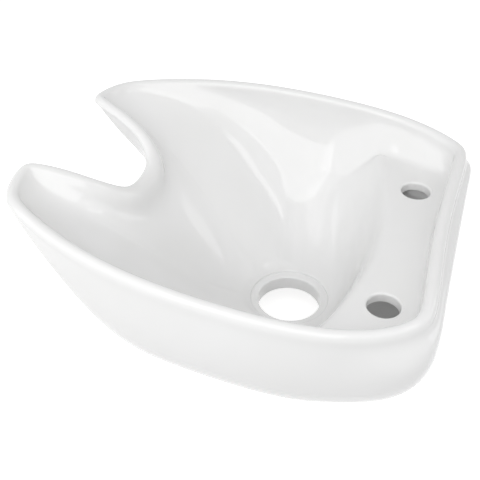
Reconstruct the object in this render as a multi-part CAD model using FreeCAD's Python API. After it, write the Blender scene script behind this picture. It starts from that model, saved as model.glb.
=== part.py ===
"""Hair-wash basin in glazed vitreous china, with the studs bedded in its underside.

Millimetres, +Z up, +Y towards the tap deck, -Y towards the neck notch.  The origin is on
the waste hole's axis, in the plane of the seat under the bowl.

The casting is one smooth closed skin.  The rim's crest is a short closed curve.  Stations
are spread along it, each station has a section running from the waste over the bowl, the
tap deck, the rim and the hull back to the waste, and all sections together are the control
cage of one bicubic B-spline surface.  Seat and pads are added to that solid, and the holes,
the chamber under the tap deck and the stud sockets are cut out of it.
"""

import FreeCAD
import Part
import math
import os

# ---- overall sizes ----
HALF_WIDTH = 223.5            # waste axis to the widest place
FRONT_Y = -311.0              # waste axis to the tips of the horns
BACK_Y = 186.0                # waste axis to the flat back face
RIM_Z = 190.0                 # mean height of the rim's crest line over the seat
BOWL_DEPTH = 168.0            # rim to the bowl's floor at the waste
HULL_CLEARANCE = 4.0          # underside of the hull above the seat

# ---- rim ----
# control points of the right half of its crest line, neck first:
# x in half widths, y in lengths to the front (-) or to the back (+), height over RIM_Z
RIM_HALF = [
    (0.000, -0.620, -36.0),   # bottom of the neck notch
    (0.130, -0.608, -34.0),
    (0.262, -0.670, -12.0),
    (0.335, -0.830, 10.0),
    (0.370, -0.954, 17.0),    # tip of the horn
    (0.540, -0.918, 11.0),
    (0.649, -0.900, 11.0),
    (0.895, -0.540, 7.0),
    (0.975, -0.148, 0.0),     # widest place
    (0.953, 0.446, -9.0),
    (0.810, 0.806, -13.0),    # back corner
    (0.707, 0.882, -11.0),
    (0.680, 0.930, -10.0),
    (0.000, 0.871, -12.0),    # middle of the back
]
RIM_R = 7.0                   # radius of the rolled rim
NECK_LEAN = 4.0               # how far its inner side leans in round the notch
STATIONS = 27                 # sections from the neck to the middle of the back
TURN_WEIGHT = 42.0            # rim length that one radian of turning counts as, for spreading them
CORNER_WEIGHT = 0.9           # extra share of the rim length beside the deck's front corners

# ---- tap deck ----
DECK_DEPTH = 47.0             # rim to the tap deck
DECK_EDGE_Y = 102.0           # front edge of the deck on the centre line
DECK_EDGE_R = 410.0           # plan radius of that edge
DECK_EDGE_SOFT = 8.0          # half width of the soft turn into the bowl
DECK_CORNER_Y = 58.0          # where that edge meets the side walls
DECK_WALL_BACK = 9.0          # crest to foot of the wall behind the deck
DECK_WALL_SIDE = 34.0         # crest to foot of the walls beside the deck
DECK_THICKNESS = 11.0         # china over the chamber
TAP_X = 108.0                 # tap holes from the centre line
TAP_Y = 126.0
TAP_HOLE_R = 17.5

# ---- chamber under the deck, open to the back ----
CHAMBER_HALF_TOP = HALF_WIDTH - 67.0
CHAMBER_HALF_FOOT = 112.0
CHAMBER_FLOOR_Z = 62.0
CHAMBER_WALL = 12.0           # china left in front of it and behind it
CHAMBER_CORNER_R = 28.0
WINDOW_HALF = 92.0
WINDOW_LOW = 84.0             # height of the window's lower edge
WINDOW_HEIGHT = 38.0
WINDOW_R = 12.0

# ---- waste ----
WASTE_R = 39.5
WASTE_RECESS_R = 49.0
WASTE_RECESS_DEPTH = 3.0
WASTE_EDGE_R = 2.0            # rounded upper edge of the hole
WASTE_SEAT_R = 62.0           # flat ring under the bowl
FLOOR_R = 56.0                # where the bowl's floor begins
FRONT_SLOPE = 1.00            # steepest rise of the floor towards the horns
FRONT_SLOPE_SOFT = 24.0       # length over which it begins
FRONT_LIP = (32.0, 8.0)       # least depth behind the rim of the horns: outer and notch side
FRONT_SOFT = 12.0             # width of the turns between floor and walls there
STRAIGHT_IN = (8.0, 60.0, 26.0)   # run of a section square to the rim: at notch, horn tip and side

# ---- hull: height of the upright wall and radius of the turn under it ----
HULL_SIDE = (65.0, 79.0)
HULL_CORNER = (52.0, 84.0)
HULL_BACK = (84.0, 56.0)
HULL_HORN = (2.0, 11.0)
HULL_LIP = (1.0, 7.0)         # inner sides of the horns
HULL_NECK = (13.0, 5.0)       # bottom of the neck notch
HULL_BOSS_R = 76.0            # where the hull meets the flat round the waste
WALL = 12.0                   # least china between bowl and hull
LEDGE_DROP = 12.0             # crest line to the ledge behind the rim

# ---- studs for the bracket: pads cast on, sockets, bedding, inserts ----
STUD_X = 45.0
STUD_Y = 75.0
PAD_R = 17.0
SOCKET_R = 10.3
SOCKET_DEPTH = 20.0
FIT = 0.2                     # radial clearance between pieces that fit in one another
BED_RECESS = 0.5              # bedding and insert stop short of the pad's face
BED_CAP = 2.5                 # bedding above the insert
INSERT_R = 7.6
STUD_R = 6.0                  # in the insert and through the lock nut
STUD_END_R = 5.0              # free end that takes the bracket
STUD_END_LENGTH = 19.0
STUD_CHAMFER = 1.0
RUBBER_WASHER = (16.0, 3.0)   # outer radius and thickness
PLAIN_WASHER = (12.0, 2.5)
SPRING_WASHER = (10.5, 2.5)
SPRING_SLOT = 2.5
NUT_WIDTH = 18.0              # across flats
NUT_HEIGHT = 6.0


def smoothstep(low, high, value):
    t = min(max((value - low) / (high - low), 0.0), 1.0)
    return t * t * (3.0 - 2.0 * t)


def mix(a, b, t):
    return a + (b - a) * t


def mirrored(half):
    """Whole closed list from a right half whose first and last points lie on x = 0."""
    return half + [(-x, y, z) for x, y, z in half[-2:0:-1]]


def spline_point(points, u):
    """Point of the closed uniform cubic B-spline; u = 0 is nearest the first point."""
    i = int(math.floor(u))
    t = u - i
    weights = ((1 - t) ** 3, 3 * t ** 3 - 6 * t ** 2 + 4, -3 * t ** 3 + 3 * t ** 2 + 3 * t + 1, t ** 3)
    n = len(points)
    return [sum(w * points[(i - 1 + k) % n][c] for k, w in enumerate(weights)) / 6 for c in range(3)]


def soft_max(a, b, width):
    return 0.5 * (a + b + math.hypot(a - b, width))


class Station:
    """A place on the rim's crest, with the outward direction in plan."""

    def __init__(self, point, tangent, share):
        self.x, self.y = point[0], point[1]
        self.z = RIM_Z + point[2]
        length = math.hypot(tangent[0], tangent[1])
        self.nx = tangent[1] / length
        self.ny = -tangent[0] / length
        # direction of the section on the bowl's floor, partly by bearing, mostly by rim length
        bearing = math.atan2(self.x, -self.y)
        self.angle = mix(bearing, math.pi * share, 0.7)
        self.share = share

    def out(self, offset, z):
        return (self.x + self.nx * offset, self.y + self.ny * offset, z)

    def ring(self, radius, z):
        return (radius * math.sin(self.angle), -radius * math.cos(self.angle), z)


def rim_stations():
    """Stations from neck to back, even along the crest's length plus its turning."""
    half = [(x * HALF_WIDTH, y * (BACK_Y if y > 0 else -FRONT_Y), z) for x, y, z in RIM_HALF]
    points = mirrored(half)
    last = len(RIM_HALF) - 1
    steps = 60 * last
    samples = [spline_point(points, last * k / steps) for k in range(-1, steps + 2)]
    tangents = [
        (samples[k + 1][0] - samples[k - 1][0], samples[k + 1][1] - samples[k - 1][1])
        for k in range(1, steps + 2)
    ]
    samples = samples[1:-1]
    measure = [0.0]
    for k in range(1, steps + 1):
        a, b = tangents[k - 1], tangents[k]
        turn = abs(math.atan2(a[0] * b[1] - a[1] * b[0], a[0] * b[0] + a[1] * b[1]))
        length = math.dist(samples[k], samples[k - 1])
        beside = smoothstep(0.0, 40.0, samples[k][1]) - smoothstep(80.0, 120.0, samples[k][1])
        measure.append(measure[-1] + length * (1.0 + CORNER_WEIGHT * beside) + TURN_WEIGHT * turn)
    result = []
    k = 0
    for i in range(STATIONS + 1):
        wanted = measure[-1] * i / STATIONS
        while k < steps and measure[k] < wanted - 1e-6:
            k += 1
        result.append(Station(samples[k], tangents[k], i / STATIONS))
    return result


# share of the way to the waste and share of the depth, from the rim's inner side to the floor
NECK_PROFILE = [(0.0, 0.04), (0.05, 0.12), (0.13, 0.23), (0.24, 0.36), (0.37, 0.50),
                (0.51, 0.64), (0.65, 0.77), (0.79, 0.89), (0.91, 0.97), (1.0, 1.0)]
HORN_PROFILE = [(0.0, 0.04), (0.02, 0.09), (0.06, 0.15), (0.14, 0.22), (0.26, 0.32),
                (0.41, 0.46), (0.58, 0.63), (0.75, 0.80), (0.89, 0.94), (1.0, 1.0)]
SIDE_PROFILE = [(0.0, 0.04), (0.03, 0.13), (0.08, 0.25), (0.16, 0.39), (0.27, 0.55),
                (0.40, 0.70), (0.55, 0.82), (0.72, 0.92), (0.87, 0.98), (1.0, 1.0)]


def blend_points(a, b, t):
    return [tuple(mix(p[c], q[c], t) for c in range(len(p))) for p, q in zip(a, b)]


def bowl_rows(s, notch, horn):
    """Rows of the bowl's skin where there is no deck, from the rim down to the floor."""
    profile = blend_points(SIDE_PROFILE, HORN_PROFILE, horn)
    profile = blend_points(profile, NECK_PROFILE, notch)
    floor_z = RIM_Z - BOWL_DEPTH
    front = 1.0 - smoothstep(-200.0, -40.0, s.y)
    start = s.out(-RIM_R - 2.0 * NECK_LEAN * notch, s.z)
    straight = mix(STRAIGHT_IN[0], STRAIGHT_IN[1], smoothstep(0.04, 0.19, s.share))
    straight = mix(straight, STRAIGHT_IN[2], smoothstep(0.20, 0.34, s.share))
    turn = s.out(-RIM_R - straight, s.z)
    end = s.ring(FLOOR_R, floor_z)
    rows = []
    for across, down in profile:
        a, b, c = (1 - across) ** 2, 2 * across * (1 - across), across ** 2
        x = a * start[0] + b * turn[0] + c * end[0]
        y = a * start[1] + b * turn[1] + c * end[1]
        z = mix(s.z, floor_z, down)
        # between the horns and the waste the floor is no deeper than this slope
        reach = max(math.hypot(x, y) - FLOOR_R, 0.0)
        slope_z = floor_z + FRONT_SLOPE * reach ** 2 / (reach + FRONT_SLOPE_SOFT)
        away = math.hypot(x - start[0], y - start[1])
        lip_z = s.z - mix(*FRONT_LIP, notch) * (1.0 - math.exp(-away / mix(10.0, 20.0, notch)))
        least_z = -soft_max(-slope_z, -lip_z, 0.5 * FRONT_SOFT)
        rows.append((x, y, mix(z, soft_max(z, least_z, FRONT_SOFT), front)))
    return rows


def deck_rows(s):
    """The same rows where the section crosses the tap deck."""
    deck_z = RIM_Z - DECK_DEPTH
    floor_z = RIM_Z - BOWL_DEPTH
    side = s.nx * s.nx
    foot = mix(DECK_WALL_BACK, DECK_WALL_SIDE, side)
    f = s.out(-foot, deck_z)
    # the deck's edge is an arc; each section crosses it on its way to the waste
    edge_x = f[0] * (1.0 - 0.10 * smoothstep(DECK_CORNER_Y, DECK_EDGE_Y + 25.0, f[1]))
    edge_y = DECK_EDGE_Y - DECK_EDGE_R + math.sqrt(DECK_EDGE_R ** 2 - edge_x ** 2)
    edge_y = min(edge_y, f[1] - 4.0)
    end = s.ring(FLOOR_R, floor_z)
    length = math.hypot(end[0] - edge_x, end[1] - edge_y)
    ux, uy = (end[0] - edge_x) / length, (end[1] - edge_y) / length
    soft = min(DECK_EDGE_SOFT, 0.45 * math.hypot(f[0] - edge_x, f[1] - edge_y))

    def along(distance, z):
        return (edge_x + ux * distance, edge_y + uy * distance, z)

    back = along(-soft, deck_z)
    return [
        s.out(-RIM_R, mix(s.z, deck_z, 0.18)),
        s.out(mix(-RIM_R, -foot, 0.35), mix(s.z, deck_z, 0.55)),
        s.out(mix(-RIM_R, -foot, 0.85), mix(s.z, deck_z, 0.93)),
        (mix(f[0], back[0], 0.22), mix(f[1], back[1], 0.22), deck_z),
        (mix(f[0], back[0], 0.62), mix(f[1], back[1], 0.62), deck_z),
        back,
        along(DECK_EDGE_SOFT * 0.6, deck_z - DECK_EDGE_SOFT * 0.35),
        along(length * 0.36, mix(deck_z, floor_z, 0.48)),
        along(length * 0.72, mix(deck_z, floor_z, 0.90)),
        end,
    ]


def rim_rows(s, notch):
    """Five control points over the rolled rim, from its inner to its outer side."""
    cage_r = RIM_R * 3.0 / (2.0 + math.cos(math.pi / 4.0))
    rows = []
    for k in range(5):
        angle = math.pi - k * math.pi / 4.0
        rows.append(s.out(cage_r * math.cos(angle), s.z + cage_r * math.sin(angle)))
    # the inner side leans out where the neck rests
    rows[0] = s.out(-cage_r - NECK_LEAN * notch, s.z + 0.3 * NECK_LEAN * notch)
    return rows


def hull_rows(s, notch):
    """Rows of the outer skin, from the rim's outer side down and in to the waste seat."""
    size = blend_points([HULL_HORN], [HULL_SIDE], smoothstep(-280.0, -110.0, s.y))
    size = blend_points(size, [HULL_CORNER], smoothstep(60.0, 145.0, s.y))
    ledge = smoothstep(0.80, 1.0, s.ny) * smoothstep(BACK_Y - 40.0, BACK_Y - 20.0, s.y)
    size = blend_points(size, [HULL_BACK], ledge * smoothstep(0.72, 0.40, s.x / HALF_WIDTH))
    size = blend_points(size, [HULL_LIP], notch)
    size = blend_points(size, [HULL_NECK], 1.0 - smoothstep(0.05, 0.13, s.share))
    wall, bilge = size[0]
    back = smoothstep(0.35, 0.95, s.ny) * (1.0 if s.y > 0.0 else 0.0)
    tip = max(notch, 1.0 - smoothstep(-300.0, -200.0, s.y))
    full = mix(mix(RIM_R + 1.5, RIM_R - 1.5, tip), BACK_Y - s.y, back)
    top = s.z
    low = s.z - wall
    start = s.out(full - bilge, low - bilge)
    end = s.ring(HULL_BOSS_R, HULL_CLEARANCE)

    def wall_point(offset, z):
        x, y, z = s.out(offset, z)
        return (x, mix(y, BACK_Y - full + offset, back), z)

    def slope(share, drop, ledge_share, ledge_drop):
        """Point of the wall's top: a slope from rim to full width, or a ledge behind the rim."""
        offset = mix(RIM_R, full, mix(share, ledge_share, ledge))
        return s.out(offset, top - mix(drop * wall, ledge_drop, ledge))

    rows = [
        slope(0.05, 0.12, 0.00, LEDGE_DROP * 0.50),
        slope(0.25, 0.24, 0.30, LEDGE_DROP * 0.95),
        slope(0.62, 0.38, 0.85, LEDGE_DROP + 2.0),
        slope(0.92, 0.60, 1.00, LEDGE_DROP + 10.0),
        wall_point(full, mix(top, low, 0.90)),
        wall_point(full - 0.05 * bilge, low - 0.30 * bilge),
        wall_point(full - 0.32 * bilge, low - 0.72 * bilge),
        start,
    ]
    for share in (0.22, 0.5, 0.8, 1.0):
        fall = share ** 0.9
        x, y = mix(start[0], end[0], share), mix(start[1], end[1], share)
        rows.append((x, y, mix(start[2], end[2], fall)))
    return rows


def section(s):
    """Closed loop of control points through one station."""
    outside = smoothstep(0.19, 0.30, s.share)
    horn = 1.0 - smoothstep(-290.0, -90.0, s.y) * outside
    notch = 1.0 - smoothstep(0.02, 0.19, s.share)
    deck = deck_share(s)
    bowl = bowl_rows(s, notch, horn)
    if deck > 0.0:
        bowl = blend_points(bowl, deck_rows(s), deck)
    hull = hull_rows(s, 1.0 - outside)
    middle_r = WASTE_R - 9.0
    waste = [
        s.ring(middle_r, HULL_CLEARANCE),
        s.ring(middle_r - 4.0, 12.0),
        s.ring(middle_r, RIM_Z - BOWL_DEPTH),
    ]
    return waste + bowl[::-1] + rim_rows(s, notch) + hull


def deck_share(s):
    """How far a section is drawn over the deck and not down the bowl's side."""
    return smoothstep(20.0, 80.0, s.y)


# rows of a section that are evened out along the rim, and how many times
FAIRED_BOWL = {4: 2, 5: 4, 6: 6, 7: 8, 8: 8, 9: 6, 10: 3}
FAIRED_UNDER_DECK = {4: 6, 5: 6, 6: 2}
FAIRED_WALL = {22: 1, 23: 2, 24: 3}
FAIRED_KEEL = {25: 4, 26: 6, 27: 6, 28: 3}
BOWL_ROWS = range(3, 13)      # floor to rim
KEEL_ROWS = range(24, 29)     # hull rows that lie under the bowl


def faired(ring, rows, hold):
    """Sections with some rows evened out from one to the next; hold is each section's resistance."""
    n = len(ring)
    for row, rounds in rows.items():
        for _ in range(rounds):
            line = [points[row] for points in ring]
            for i in range(n):
                near = [(line[i - 1][c] + 2 * line[i][c] + line[(i + 1) % n][c]) / 4 for c in range(3)]
                ring[i][row] = tuple(mix(near[c], line[i][c], hold[i]) for c in range(3))


def keep_wall(ring):
    """Lower the hull wherever less than the wall's thickness is left under the bowl."""
    n = len(ring)
    limits = []
    for i in range(n):
        line = []
        for row in BOWL_ROWS:
            x, y, z = ring[i][row]
            ax, ay, az = (p - q for p, q in zip(ring[i][row + 1], ring[i][row - 1]))
            bx, by, bz = (p - q for p, q in zip(ring[(i + 1) % n][row], ring[i - 1][row]))
            nx, ny, nz = ay * bz - az * by, az * bx - ax * bz, ax * by - ay * bx
            level = abs(nz) / math.sqrt(nx * nx + ny * ny + nz * nz)
            line.append((math.hypot(x, y), z - WALL / max(level, 0.65)))
        limits.append(line)
    for i in range(n):
        for row in KEEL_ROWS:
            x, y, z = ring[i][row]
            reach = math.hypot(x, y)
            for (near, low), (far, high) in zip(limits[i], limits[i][1:]):
                if near <= reach <= far:
                    z = min(z, mix(low, high, (reach - near) / (far - near)))
            ring[i][row] = (x, y, z)


def closed_cage():
    """All sections right round the basin, pushed out so that the skin passes through the stations."""
    stations = rim_stations()
    half = [section(s) for s in stations]
    left = [[(-x, y, z) for x, y, z in row] for row in half[-2:0:-1]]
    hold = [max(deck_share(s), 0.75 - 0.75 * smoothstep(0.10, 0.25, s.share)) for s in stations]
    hold += hold[-2:0:-1]
    front = [1.0 - smoothstep(-100.0, 40.0, s.y) for s in stations]
    front += front[-2:0:-1]
    ring = half + left
    faired(ring, FAIRED_BOWL, hold)
    faired(ring, FAIRED_UNDER_DECK, [1.0 - smoothstep(-80.0, 0.0, points[12][1]) for points in ring])
    faired(ring, FAIRED_WALL, front)
    faired(ring, FAIRED_KEEL, [0.0] * len(ring))
    keep_wall(ring)
    n = len(ring)
    cage = []
    for i in range(n):
        before, here, after = ring[i - 1], ring[i], ring[(i + 1) % n]
        cage.append([
            tuple(h[c] + (2 * h[c] - b[c] - a[c]) / 6.0 for c in range(3))
            for b, h, a in zip(before, here, after)
        ])
    return cage


def skin_solid(cage):
    """Closed bicubic B-spline surface over a cage that is periodic both ways."""
    poles = [[FreeCAD.Vector(*p) for p in row] for row in cage]
    nu, nv = len(poles), len(poles[0])
    surface = Part.BSplineSurface()
    surface.buildFromPolesMultsKnots(
        poles, [1] * (nu + 1), [1] * (nv + 1),
        [float(k) for k in range(nu + 1)], [float(k) for k in range(nv + 1)],
        True, True, 3, 3,
    )
    solid = Part.Solid(Part.Shell([surface.toShape()]))
    if solid.Volume < 0:
        solid.reverse()
    return solid


def disc(radius, z0, z1, x=0.0, y=0.0):
    return Part.makeCylinder(radius, z1 - z0, FreeCAD.Vector(x, y, z0))


def ring(outer, inner, z0, z1, x, y):
    return disc(outer, z0, z1, x, y).cut(disc(inner, z0 - 1.0, z1 + 1.0, x, y))


def at_studs(make):
    """One compound of separate solids, one at each stud."""
    places = [(sx * STUD_X, sy * STUD_Y) for sx in (-1, 1) for sy in (-1, 1)]
    return Part.makeCompound([make(x, y) for x, y in places])


def waste_cut():
    """Hole, rounded edge and shallow recess for the waste's flange."""
    floor_z = RIM_Z - BOWL_DEPTH
    recess_z = floor_z - WASTE_RECESS_DEPTH
    r, e = WASTE_R, WASTE_EDGE_R
    slant = math.sqrt(0.5)
    points = [FreeCAD.Vector(x, 0, z) for x, z in (
        (0.0, -5.0), (r, -5.0), (r, recess_z - e), (r + e, recess_z), (WASTE_RECESS_R, recess_z),
        (WASTE_RECESS_R, floor_z - 1.5), (WASTE_RECESS_R + 12.0, floor_z + 10.5), (0.0, floor_z + 10.5),
    )]
    middle = FreeCAD.Vector(r + e - e * slant, 0, recess_z - e + e * slant)
    edges = [Part.makeLine(a, b) for a, b in zip(points, points[1:] + points[:1])]
    edges[2] = Part.Arc(points[2], middle, points[3]).toShape()
    face = Part.Face(Part.Wire(edges))
    return face.revolve(FreeCAD.Vector(0, 0, 0), FreeCAD.Vector(0, 0, 1), 360)


def chamber_outline(half, front_r, back_y, z):
    """Plan of the chamber at one height: the bowl's curve in front, flat behind, round corners."""
    centre_y = DECK_EDGE_Y - DECK_EDGE_R
    r = CHAMBER_CORNER_R
    slant = r * math.sqrt(0.5)

    def point(x, y):
        return FreeCAD.Vector(x, y, z)

    front_y = centre_y + math.sqrt(front_r ** 2 - half ** 2)
    a, b = point(-half, front_y), point(half, front_y)
    c, d = point(half, back_y - r), point(half - r, back_y)
    e, f = point(-half + r, back_y), point(-half, back_y - r)
    return Part.Wire([
        Part.Arc(a, point(0, centre_y + front_r), b).toShape(),
        Part.makeLine(b, c),
        Part.Arc(c, point(half - r + slant, back_y - r + slant), d).toShape(),
        Part.makeLine(d, e),
        Part.Arc(e, point(-half + r - slant, back_y - r + slant), f).toShape(),
        Part.makeLine(f, a),
    ])


def chamber():
    """Room under the tap deck with its window in the back face."""
    top = RIM_Z - DECK_DEPTH - DECK_THICKNESS
    outlines = [
        chamber_outline(CHAMBER_HALF_FOOT, DECK_EDGE_R - 8.0, BACK_Y - CHAMBER_WALL - 14.0, CHAMBER_FLOOR_Z),
        chamber_outline(CHAMBER_HALF_TOP, DECK_EDGE_R + CHAMBER_WALL, BACK_Y - CHAMBER_WALL, top),
    ]
    room = Part.makeLoft(outlines, True, True)
    window = Part.makeBox(
        2 * WINDOW_HALF, 60.0, WINDOW_HEIGHT, FreeCAD.Vector(-WINDOW_HALF, BACK_Y - 40.0, WINDOW_LOW),
    )
    corners = [e for e in window.Edges if abs(e.tangentAt(e.FirstParameter).y) > 0.9]
    window = window.makeFillet(WINDOW_R, corners)
    return room.fuse(window)


def basin_body():
    """The china casting."""
    deck_z = RIM_Z - DECK_DEPTH
    body = skin_solid(closed_cage())
    pads = at_studs(lambda x, y: disc(PAD_R, 0.0, SOCKET_DEPTH + 6.0, x, y)).Solids
    body = body.fuse([disc(WASTE_SEAT_R, 0.0, HULL_CLEARANCE + 8.0)] + pads)
    cuts = [waste_cut(), chamber()]
    low, high = deck_z - DECK_THICKNESS - 10.0, deck_z + 15.0
    cuts += [disc(TAP_HOLE_R, low, high, side * TAP_X, TAP_Y) for side in (-1, 1)]
    cuts += at_studs(lambda x, y: disc(SOCKET_R, -5.0, SOCKET_DEPTH, x, y)).Solids
    return body.cut(cuts)


def anchor_bedding(x, y):
    """Poured resin round an insert, closed above it."""
    cup = disc(SOCKET_R - FIT, BED_RECESS, SOCKET_DEPTH, x, y)
    return cup.cut(disc(INSERT_R + FIT, BED_RECESS - 1.0, SOCKET_DEPTH - BED_CAP, x, y))


def threaded_insert(x, y):
    """Brass bush with two holding grooves outside."""
    top = SOCKET_DEPTH - BED_CAP
    bush = ring(INSERT_R, STUD_R + FIT, BED_RECESS, top, x, y)
    for z in (BED_RECESS + 5.0, top - 6.5):
        bush = bush.cut(ring(INSERT_R + 1.0, INSERT_R - 0.6, z, z + 1.5, x, y))
    return bush


def stack_heights():
    """Heights of the faces between pad, rubber, plain and spring washer, nut, downwards."""
    heights = [0.0]
    for thickness in (RUBBER_WASHER[1], PLAIN_WASHER[1], SPRING_WASHER[1], NUT_HEIGHT):
        heights.append(heights[-1] - thickness)
    return heights


def stepped_stud(x, y):
    """Stud held in the insert by its thick part, with the bracket's thinner thread below."""
    step_z = stack_heights()[-1] - 1.0
    end_z = step_z - STUD_END_LENGTH
    c = STUD_CHAMFER
    upper = disc(STUD_R, step_z, SOCKET_DEPTH - BED_CAP - 1.5, x, y)
    lower = disc(STUD_END_R, end_z + c, step_z, x, y)
    tip = Part.makeCone(STUD_END_R - c, STUD_END_R, c, FreeCAD.Vector(x, y, end_z))
    return upper.fuse([lower, tip]).removeSplitter()


def washer(size, level):
    """Maker of a flat washer between two faces of the stack."""
    heights = stack_heights()
    return lambda x, y: ring(size[0], STUD_R + FIT, heights[level + 1], heights[level], x, y)


def spring_washer(x, y):
    whole = washer(SPRING_WASHER, 2)(x, y)
    heights = stack_heights()
    slot = Part.makeBox(
        SPRING_WASHER[0] + 2.0, SPRING_SLOT, SPRING_WASHER[1] + 2.0,
        FreeCAD.Vector(x, y - SPRING_SLOT / 2.0, heights[3] - 1.0),
    )
    return whole.cut(slot)


def lock_nut(x, y):
    """Thin hexagon nut with its corners turned off."""
    heights = stack_heights()
    low, high = heights[4], heights[3]
    corner = NUT_WIDTH / math.sqrt(3.0)
    angles = [math.radians(60 * k) for k in range(7)]
    points = [
        FreeCAD.Vector(x + corner * math.cos(a), y + corner * math.sin(a), low) for a in angles
    ]
    block = Part.Face(Part.makePolygon(points)).extrude(FreeCAD.Vector(0, 0, high - low))
    reach = corner + 0.2
    drop = (reach - NUT_WIDTH / 2.0) * 0.6
    turned = disc(reach, low + drop, high - drop, x, y)
    caps = [
        Part.makeCone(NUT_WIDTH / 2.0, reach, drop, FreeCAD.Vector(x, y, low)),
        Part.makeCone(reach, NUT_WIDTH / 2.0, drop, FreeCAD.Vector(x, y, high - drop)),
    ]
    return block.common(turned.fuse(caps)).cut(disc(STUD_R + FIT, low - 1.0, high + 1.0, x, y))


def main():
    os.makedirs("parts", exist_ok=True)
    pieces = {
        "basin_body": basin_body(),
        "anchor_bedding": at_studs(anchor_bedding),
        "threaded_inserts": at_studs(threaded_insert),
        "stepped_studs": at_studs(stepped_stud),
        "rubber_washers": at_studs(washer(RUBBER_WASHER, 0)),
        "plain_washers": at_studs(washer(PLAIN_WASHER, 1)),
        "spring_washers": at_studs(spring_washer),
        "lock_nuts": at_studs(lock_nut),
    }
    for name, shape in pieces.items():
        print(name, "valid", shape.isValid(), "solids", len(shape.Solids), "volume", round(shape.Volume))
        shape.exportStep("parts/" + name + ".step")


main()
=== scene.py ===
"""Looks of the hair-wash basin: glazed casting, fixings, studio and camera.

The casting's skin is worked out as the CAD part works it out, from the rim's crest line and
a section at each station, and is meshed finely enough for a glossy glaze.  Sizes are in
millimetres until MM turns them into metres.
"""
import math

import bmesh
import bpy
import numpy as np
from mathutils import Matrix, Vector


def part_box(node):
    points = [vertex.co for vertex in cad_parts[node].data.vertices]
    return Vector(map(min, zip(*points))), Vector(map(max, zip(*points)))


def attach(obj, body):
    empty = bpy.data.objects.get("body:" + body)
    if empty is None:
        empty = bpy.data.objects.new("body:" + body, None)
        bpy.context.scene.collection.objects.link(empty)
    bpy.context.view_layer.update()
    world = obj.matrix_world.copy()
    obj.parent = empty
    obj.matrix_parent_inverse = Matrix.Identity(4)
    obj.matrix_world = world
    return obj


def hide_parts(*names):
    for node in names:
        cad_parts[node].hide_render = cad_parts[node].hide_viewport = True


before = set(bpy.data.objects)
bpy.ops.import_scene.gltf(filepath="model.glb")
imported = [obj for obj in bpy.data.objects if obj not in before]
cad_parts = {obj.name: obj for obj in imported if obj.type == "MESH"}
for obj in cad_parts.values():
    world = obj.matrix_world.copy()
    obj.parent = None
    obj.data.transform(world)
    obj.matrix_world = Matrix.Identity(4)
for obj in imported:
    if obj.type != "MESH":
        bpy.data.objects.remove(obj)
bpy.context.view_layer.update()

MM = 0.001

# ---- camera and light ----
IMAGE_SIZE = 480
SENSOR_WIDTH = 36.0
CAMERA_FOCAL_PX = 737.4
CAMERA_PLACE = (670.0, 165.9, 662.3)
CAMERA_AZIMUTH = 109.1        # degrees, of the way it looks
CAMERA_ELEVATION = 38.6       # degrees that it looks down
WORLD_LEVEL = 0.46            # light that the surroundings give
FLOOR_LIFT = 0.64             # light that the floor gives off for the camera and reflections
FLOOR_HALF = 4.0              # half of the floor's side (metres)
# name, place, target, width, height (metres), power (watts)
SOFTBOXES = [
    ("key", (1.11, 0.06, 1.25), (0.0, 0.0, 0.1), 1.4, 1.33, 10.3),
    ("front", (0.95, -1.14, 0.70), (0.0, 0.0, 0.1), 1.9, 1.1, 6.2),
    ("front_high", (0.59, -0.70, 1.41), (0.0, 0.0, 0.1), 0.9, 0.7, 1.4),
    ("strip", (-0.10, 1.86, 2.45), (-0.15, -0.10, 0.1), 0.45, 0.80, 2.3),
    ("back_high", (0.50, 0.94, 1.29), (0.0, 0.0, 0.1), 1.0, 0.9, 1.7),
    ("back", (-0.63, 1.36, 0.65), (0.0, 0.0, 0.1), 1.2, 0.7, 2.6),
]

# ---- colours (linear) and glaze ----
GLAZE_WHITE = (0.86, 0.86, 0.86)
GLAZE_SHADE = (0.84, 0.84, 0.835)
GLAZE_ROUGHNESS = (0.05, 0.09)
GLAZE_IOR = 1.52
BISQUE = (0.80, 0.77, 0.70)
BISQUE_SHADE = (0.74, 0.71, 0.64)
BISQUE_ROUGHNESS = 0.8
BISQUE_Z = (0.2, 0.6)         # unglazed below the first height, glazed above the second
FLOOR_PALE = (0.70, 0.70, 0.70)

# ---- overall sizes ----
HALF_WIDTH = 223.5            # waste axis to the widest place
FRONT_Y = -311.0              # waste axis to the tips of the horns
BACK_Y = 186.0                # waste axis to the flat back face
RIM_Z = 190.0                 # mean height of the rim's crest line over the seat
BOWL_DEPTH = 168.0            # rim to the bowl's floor at the waste
HULL_CLEARANCE = 4.0          # underside of the hull above the seat

# ---- rim ----
# control points of the right half of its crest line, neck first:
# x in half widths, y in lengths to the front (-) or to the back (+), height over RIM_Z
RIM_HALF = [
    (0.000, -0.620, -36.0),   # bottom of the neck notch
    (0.130, -0.608, -34.0),
    (0.262, -0.670, -12.0),
    (0.335, -0.830, 10.0),
    (0.370, -0.954, 17.0),    # tip of the horn
    (0.540, -0.918, 11.0),
    (0.649, -0.900, 11.0),
    (0.895, -0.540, 7.0),
    (0.975, -0.148, 0.0),     # widest place
    (0.953, 0.446, -9.0),
    (0.810, 0.806, -13.0),    # back corner
    (0.707, 0.882, -11.0),
    (0.680, 0.930, -10.0),
    (0.000, 0.871, -12.0),    # middle of the back
]
RIM_R = 7.0                   # radius of the rolled rim
NECK_LEAN = 4.0               # how far its inner side leans in round the notch
STATIONS = 27                 # sections from the neck to the middle of the back
TURN_WEIGHT = 42.0            # rim length that one radian of turning counts as, for spreading them
CORNER_WEIGHT = 0.9           # extra share of the rim length beside the deck's front corners

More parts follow.
